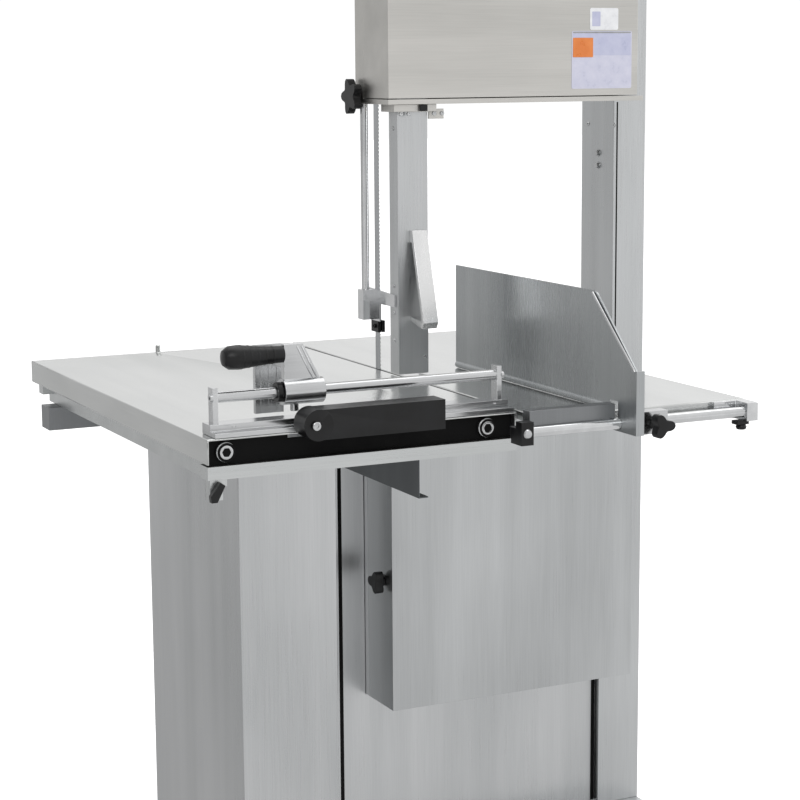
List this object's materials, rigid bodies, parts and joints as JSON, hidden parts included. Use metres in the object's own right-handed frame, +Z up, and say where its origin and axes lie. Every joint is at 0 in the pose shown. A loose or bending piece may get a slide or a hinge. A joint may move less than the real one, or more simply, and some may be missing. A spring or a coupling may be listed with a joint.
{
  "type": "bone saw",
  "caption": "Floor-standing stainless band saw for meat and bone, with a sliding table and pusher, a fixed table with a fence, and a height-adjustable blade guard.",
  "frame": {"origin": "centre of the whole machine's bounding box, on the floor under the feet", "axes": "+Z up, -Y towards the operator, +X to the operator's right (fence side)"},
  "size_m": [1.007, 0.9934, 1.868],
  "materials": {
    "brushed_stainless": "brushed stainless sheet",
    "polished_stainless": "finely polished stainless",
    "chromed_steel": "bright chromed bar",
    "cast_iron": "machined grey cast iron",
    "black_plastic": "fine-grained black moulding",
    "black_rubber": "matte black rubber",
    "blade_steel": "ground steel strip",
    "motor_grey": "satin grey paint",
    "green_plastic": "green moulding",
    "red_plastic": "red moulding"
  },
  "bodies": {
    "frame": {"base_plate": "brushed_stainless", "foot_front_left": "black_rubber", "foot_front_right": "black_rubber", "foot_rear_left": "black_rubber", "foot_rear_right": "black_rubber", "left_cabinet": "brushed_stainless", "base_cabinet": "brushed_stainless", "rear_access_panel": "brushed_stainless", "cable_gland": "black_plastic", "column": "brushed_stainless", "head_back_pan": "brushed_stainless", "lower_back_pan": "brushed_stainless", "tension_housing": "brushed_stainless", "bearing_housing": "cast_iron", "motor": "motor_grey", "fixed_table": "polished_stainless", "lower_blade_guide": "black_plastic", "rail_frame": "polished_stainless", "slot_plate": "black_rubber", "rail_left": "chromed_steel", "rail_right": "chromed_steel", "rail_beam": "brushed_stainless", "rear_cross_beam": "brushed_stainless", "rod_holder_left": "black_plastic", "fence_rod": "chromed_steel", "fence_guide_bar": "brushed_stainless", "switch_box": "brushed_stainless", "guard_slide_plate": "brushed_stainless", "saw_blade": "blade_steel", "drive_belt": "black_rubber"},
    "head_door_leaf": {"head_door": "brushed_stainless"},
    "head_latch": {"head_latch_knob": "black_plastic"},
    "lower_cover_leaf": {"lower_cover": "brushed_stainless"},
    "lower_latch": {"lower_latch_knob": "black_plastic"},
    "upper_wheel_body": {"upper_wheel": "cast_iron"},
    "tension_slide_body": {"tension_carriage": "cast_iron"},
    "tension_knob_body": {"tension_knob": "black_plastic"},
    "lower_wheel_body": {"lower_wheel": "cast_iron", "drive_shaft": "blade_steel"},
    "motor_rotor": {"motor_pulley": "cast_iron"},
    "guard": {"guard_post": "brushed_stainless", "guard_rod": "chromed_steel", "upper_blade_guide": "black_plastic", "guard_handle": "brushed_stainless"},
    "guard_lock": {"guard_lock_knob": "black_plastic"},
    "table_slide_body": {"sliding_table": "polished_stainless", "bearing_left": "cast_iron", "bearing_right": "cast_iron", "pusher_strip": "polished_stainless", "push_bar": "black_plastic"},
    "pusher_carriage": {"pusher_stop_ring": "black_plastic"},
    "pusher": {"pusher_arm": "polished_stainless", "pusher_plate": "polished_stainless", "pusher_grip": "black_plastic"},
    "table_lock": {"table_lock_lever": "black_plastic"},
    "fence": {"fence_plate": "brushed_stainless", "fence_clamp": "polished_stainless"},
    "fence_lock": {"fence_knob": "black_plastic"},
    "start_button_body": {"start_button": "green_plastic"},
    "stop_button_body": {"stop_button": "red_plastic"}
  },
  "joints": [
    {"name": "table_slide", "type": "slide", "parent": "frame", "child": "table_slide_body", "axis": [0, 1, 0], "range_m": [0, 0.45]},
    {"name": "pusher_slide", "type": "slide", "parent": "table_slide_body", "child": "pusher_carriage", "axis": [1, 0, 0], "range_m": [-0.086, 0.275]},
    {"name": "pusher_swing", "type": "hinge", "parent": "pusher_carriage", "child": "pusher", "pos_m": [-0.379, -0.33925, 0.923], "axis": [1, 0, 0], "range_deg": [0, 75]},
    {"name": "fence_slide", "type": "slide", "parent": "frame", "child": "fence", "axis": [1, 0, 0], "range_m": [-0.068, 0.13]},
    {"name": "fence_lock_turn", "type": "hinge", "parent": "fence", "child": "fence_lock", "pos_m": [0.1628, -0.46725, 0.852], "axis": [0, -1, 0], "range_deg": [-720, 0]},
    {"name": "guard_slide", "type": "slide", "parent": "frame", "child": "guard", "axis": [0, 0, 1], "range_m": [0, 0.185]},
    {"name": "guard_lock_turn", "type": "hinge", "parent": "frame", "child": "guard_lock", "pos_m": [-0.0415, 0.11925, 1.326], "axis": [-1, 0, 0], "range_deg": [-720, 0]},
    {"name": "head_door_swing", "type": "hinge", "parent": "frame", "child": "head_door_leaf", "pos_m": [0.433, 0.09275, 1.577], "axis": [0, 0, 1], "range_deg": [0, 95]},
    {"name": "head_latch_turn", "type": "hinge", "parent": "head_door_leaf", "child": "head_latch", "pos_m": [-0.0415, 0.03995, 1.577], "axis": [-1, 0, 0], "range_deg": [0, 90]},
    {"name": "lower_cover_swing", "type": "hinge", "parent": "frame", "child": "lower_cover_leaf", "pos_m": [0.433, 0.09275, 0.5605], "axis": [0, 0, 1], "range_deg": [0, 95]},
    {"name": "lower_latch_turn", "type": "hinge", "parent": "lower_cover_leaf", "child": "lower_latch", "pos_m": [-0.0415, 0.03995, 0.523], "axis": [-1, 0, 0], "range_deg": [0, 90]},
    {"name": "lower_wheel_spin", "type": "hinge", "parent": "frame", "child": "lower_wheel_body", "pos_m": [0.2191, 0.11575, 0.5605], "axis": [0, 1, 0], "continuous": true},
    {"name": "upper_wheel_spin", "type": "hinge", "parent": "tension_slide_body", "child": "upper_wheel_body", "pos_m": [0.2191, 0.11575, 1.577], "axis": [0, 1, 0], "continuous": true},
    {"name": "motor_spin", "type": "hinge", "parent": "frame", "child": "motor_rotor", "pos_m": [0.0965, 0.40175, 0.17], "axis": [0, 1, 0], "continuous": true},
    {"name": "tension_knob_turn", "type": "hinge", "parent": "frame", "child": "tension_knob_body", "pos_m": [0.2191, 0.15005, 1.832], "axis": [0, 0, 1], "range_deg": [0, 2160]},
    {"name": "tension_slide", "type": "slide", "parent": "frame", "child": "tension_slide_body", "axis": [0, 0, 1], "range_m": [-0.012, 0]},
    {"name": "table_lock_turn", "type": "hinge", "parent": "frame", "child": "table_lock", "pos_m": [-0.49, -0.37025, 0.801], "axis": [0, -1, 0], "range_deg": [-30, 30]},
    {"name": "start_button_press", "type": "slide", "parent": "frame", "child": "start_button_body", "axis": [-1, 0, 0], "range_m": [0, 0.004], "stiffness_N_per_m": 900, "springref_m": -0.002},
    {"name": "stop_button_press", "type": "slide", "parent": "frame", "child": "stop_button_body", "axis": [-1, 0, 0], "range_m": [0, 0.004], "stiffness_N_per_m": 900, "springref_m": -0.002}
  ],
  "couplings": [
    {"joint": "upper_wheel_spin", "follows": "lower_wheel_spin", "ratio": 1},
    {"joint": "motor_spin", "follows": "lower_wheel_spin", "ratio": 1.6085},
    {"joint": "tension_knob_turn", "follows": "tension_slide", "rad_per_m": -3140}
  ]
}
